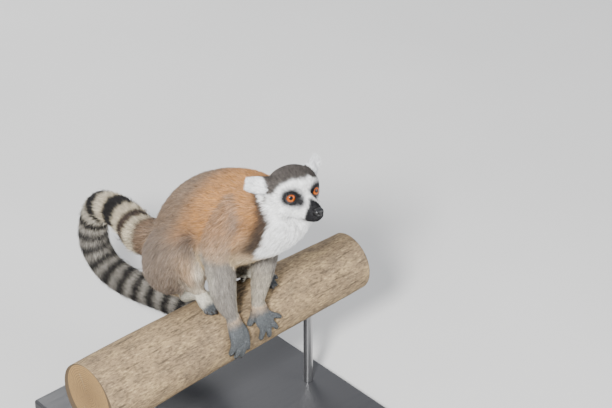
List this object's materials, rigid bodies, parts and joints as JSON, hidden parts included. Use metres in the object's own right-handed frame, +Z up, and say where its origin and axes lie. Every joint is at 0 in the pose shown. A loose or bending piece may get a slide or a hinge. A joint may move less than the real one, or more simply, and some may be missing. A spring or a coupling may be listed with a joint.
{
  "type": "ring-tailed lemur",
  "caption": "Life-size ring-tailed lemur crouched across a cut length of branch with its ringed tail curled behind it, held on a plain display stand.",
  "frame": {"origin": "centre of the underside of the stand's base", "axes": "+Z up, the animal faces -Y, +X to the animal's left; the branch runs along X"},
  "size_m": [0.4128, 0.4636, 0.4336],
  "materials": {
    "coat_fawn": "dense short brown-fawn fur",
    "coat_grey": "dense pale grey fur",
    "coat_white": "short white fur with a dark cap and eye patches",
    "coat_ringed": "long fur in black and off-white rings",
    "skin_slate": "slate-grey skin with very short fur",
    "nose_leather": "moist black nose leather",
    "eye": "wet orange eye with a clear cornea",
    "bark": "dry smooth bark",
    "stand_board": "satin dark paint on a wooden board",
    "rod_steel": "brushed steel rod"
  },
  "bodies": {
    "root": {"pelvis": "coat_fawn", "belly": "coat_fawn", "chest": "coat_fawn", "neck": "coat_fawn", "upper_arm_right": "coat_grey", "forearm_right": "coat_grey", "thigh_right": "coat_grey", "shin_right": "coat_grey", "hand_right": "skin_slate", "foot_right": "skin_slate", "ear_right": "coat_white", "eye_right": "eye", "upper_arm_left": "coat_grey", "forearm_left": "coat_grey", "thigh_left": "coat_grey", "shin_left": "coat_grey", "hand_left": "skin_slate", "foot_left": "skin_slate", "ear_left": "coat_white", "eye_left": "eye", "tail_1": "coat_ringed", "tail_2": "coat_ringed", "tail_3": "coat_ringed", "tail_4": "coat_ringed", "tail_5": "coat_ringed", "tail_6": "coat_ringed", "tail_7": "coat_ringed", "head": "coat_white", "lower_jaw": "coat_white", "nose": "nose_leather", "perch": "bark", "stand_base": "stand_board", "stand_rod_left": "rod_steel", "stand_rod_right": "rod_steel"}
  },
  "joints": []
}
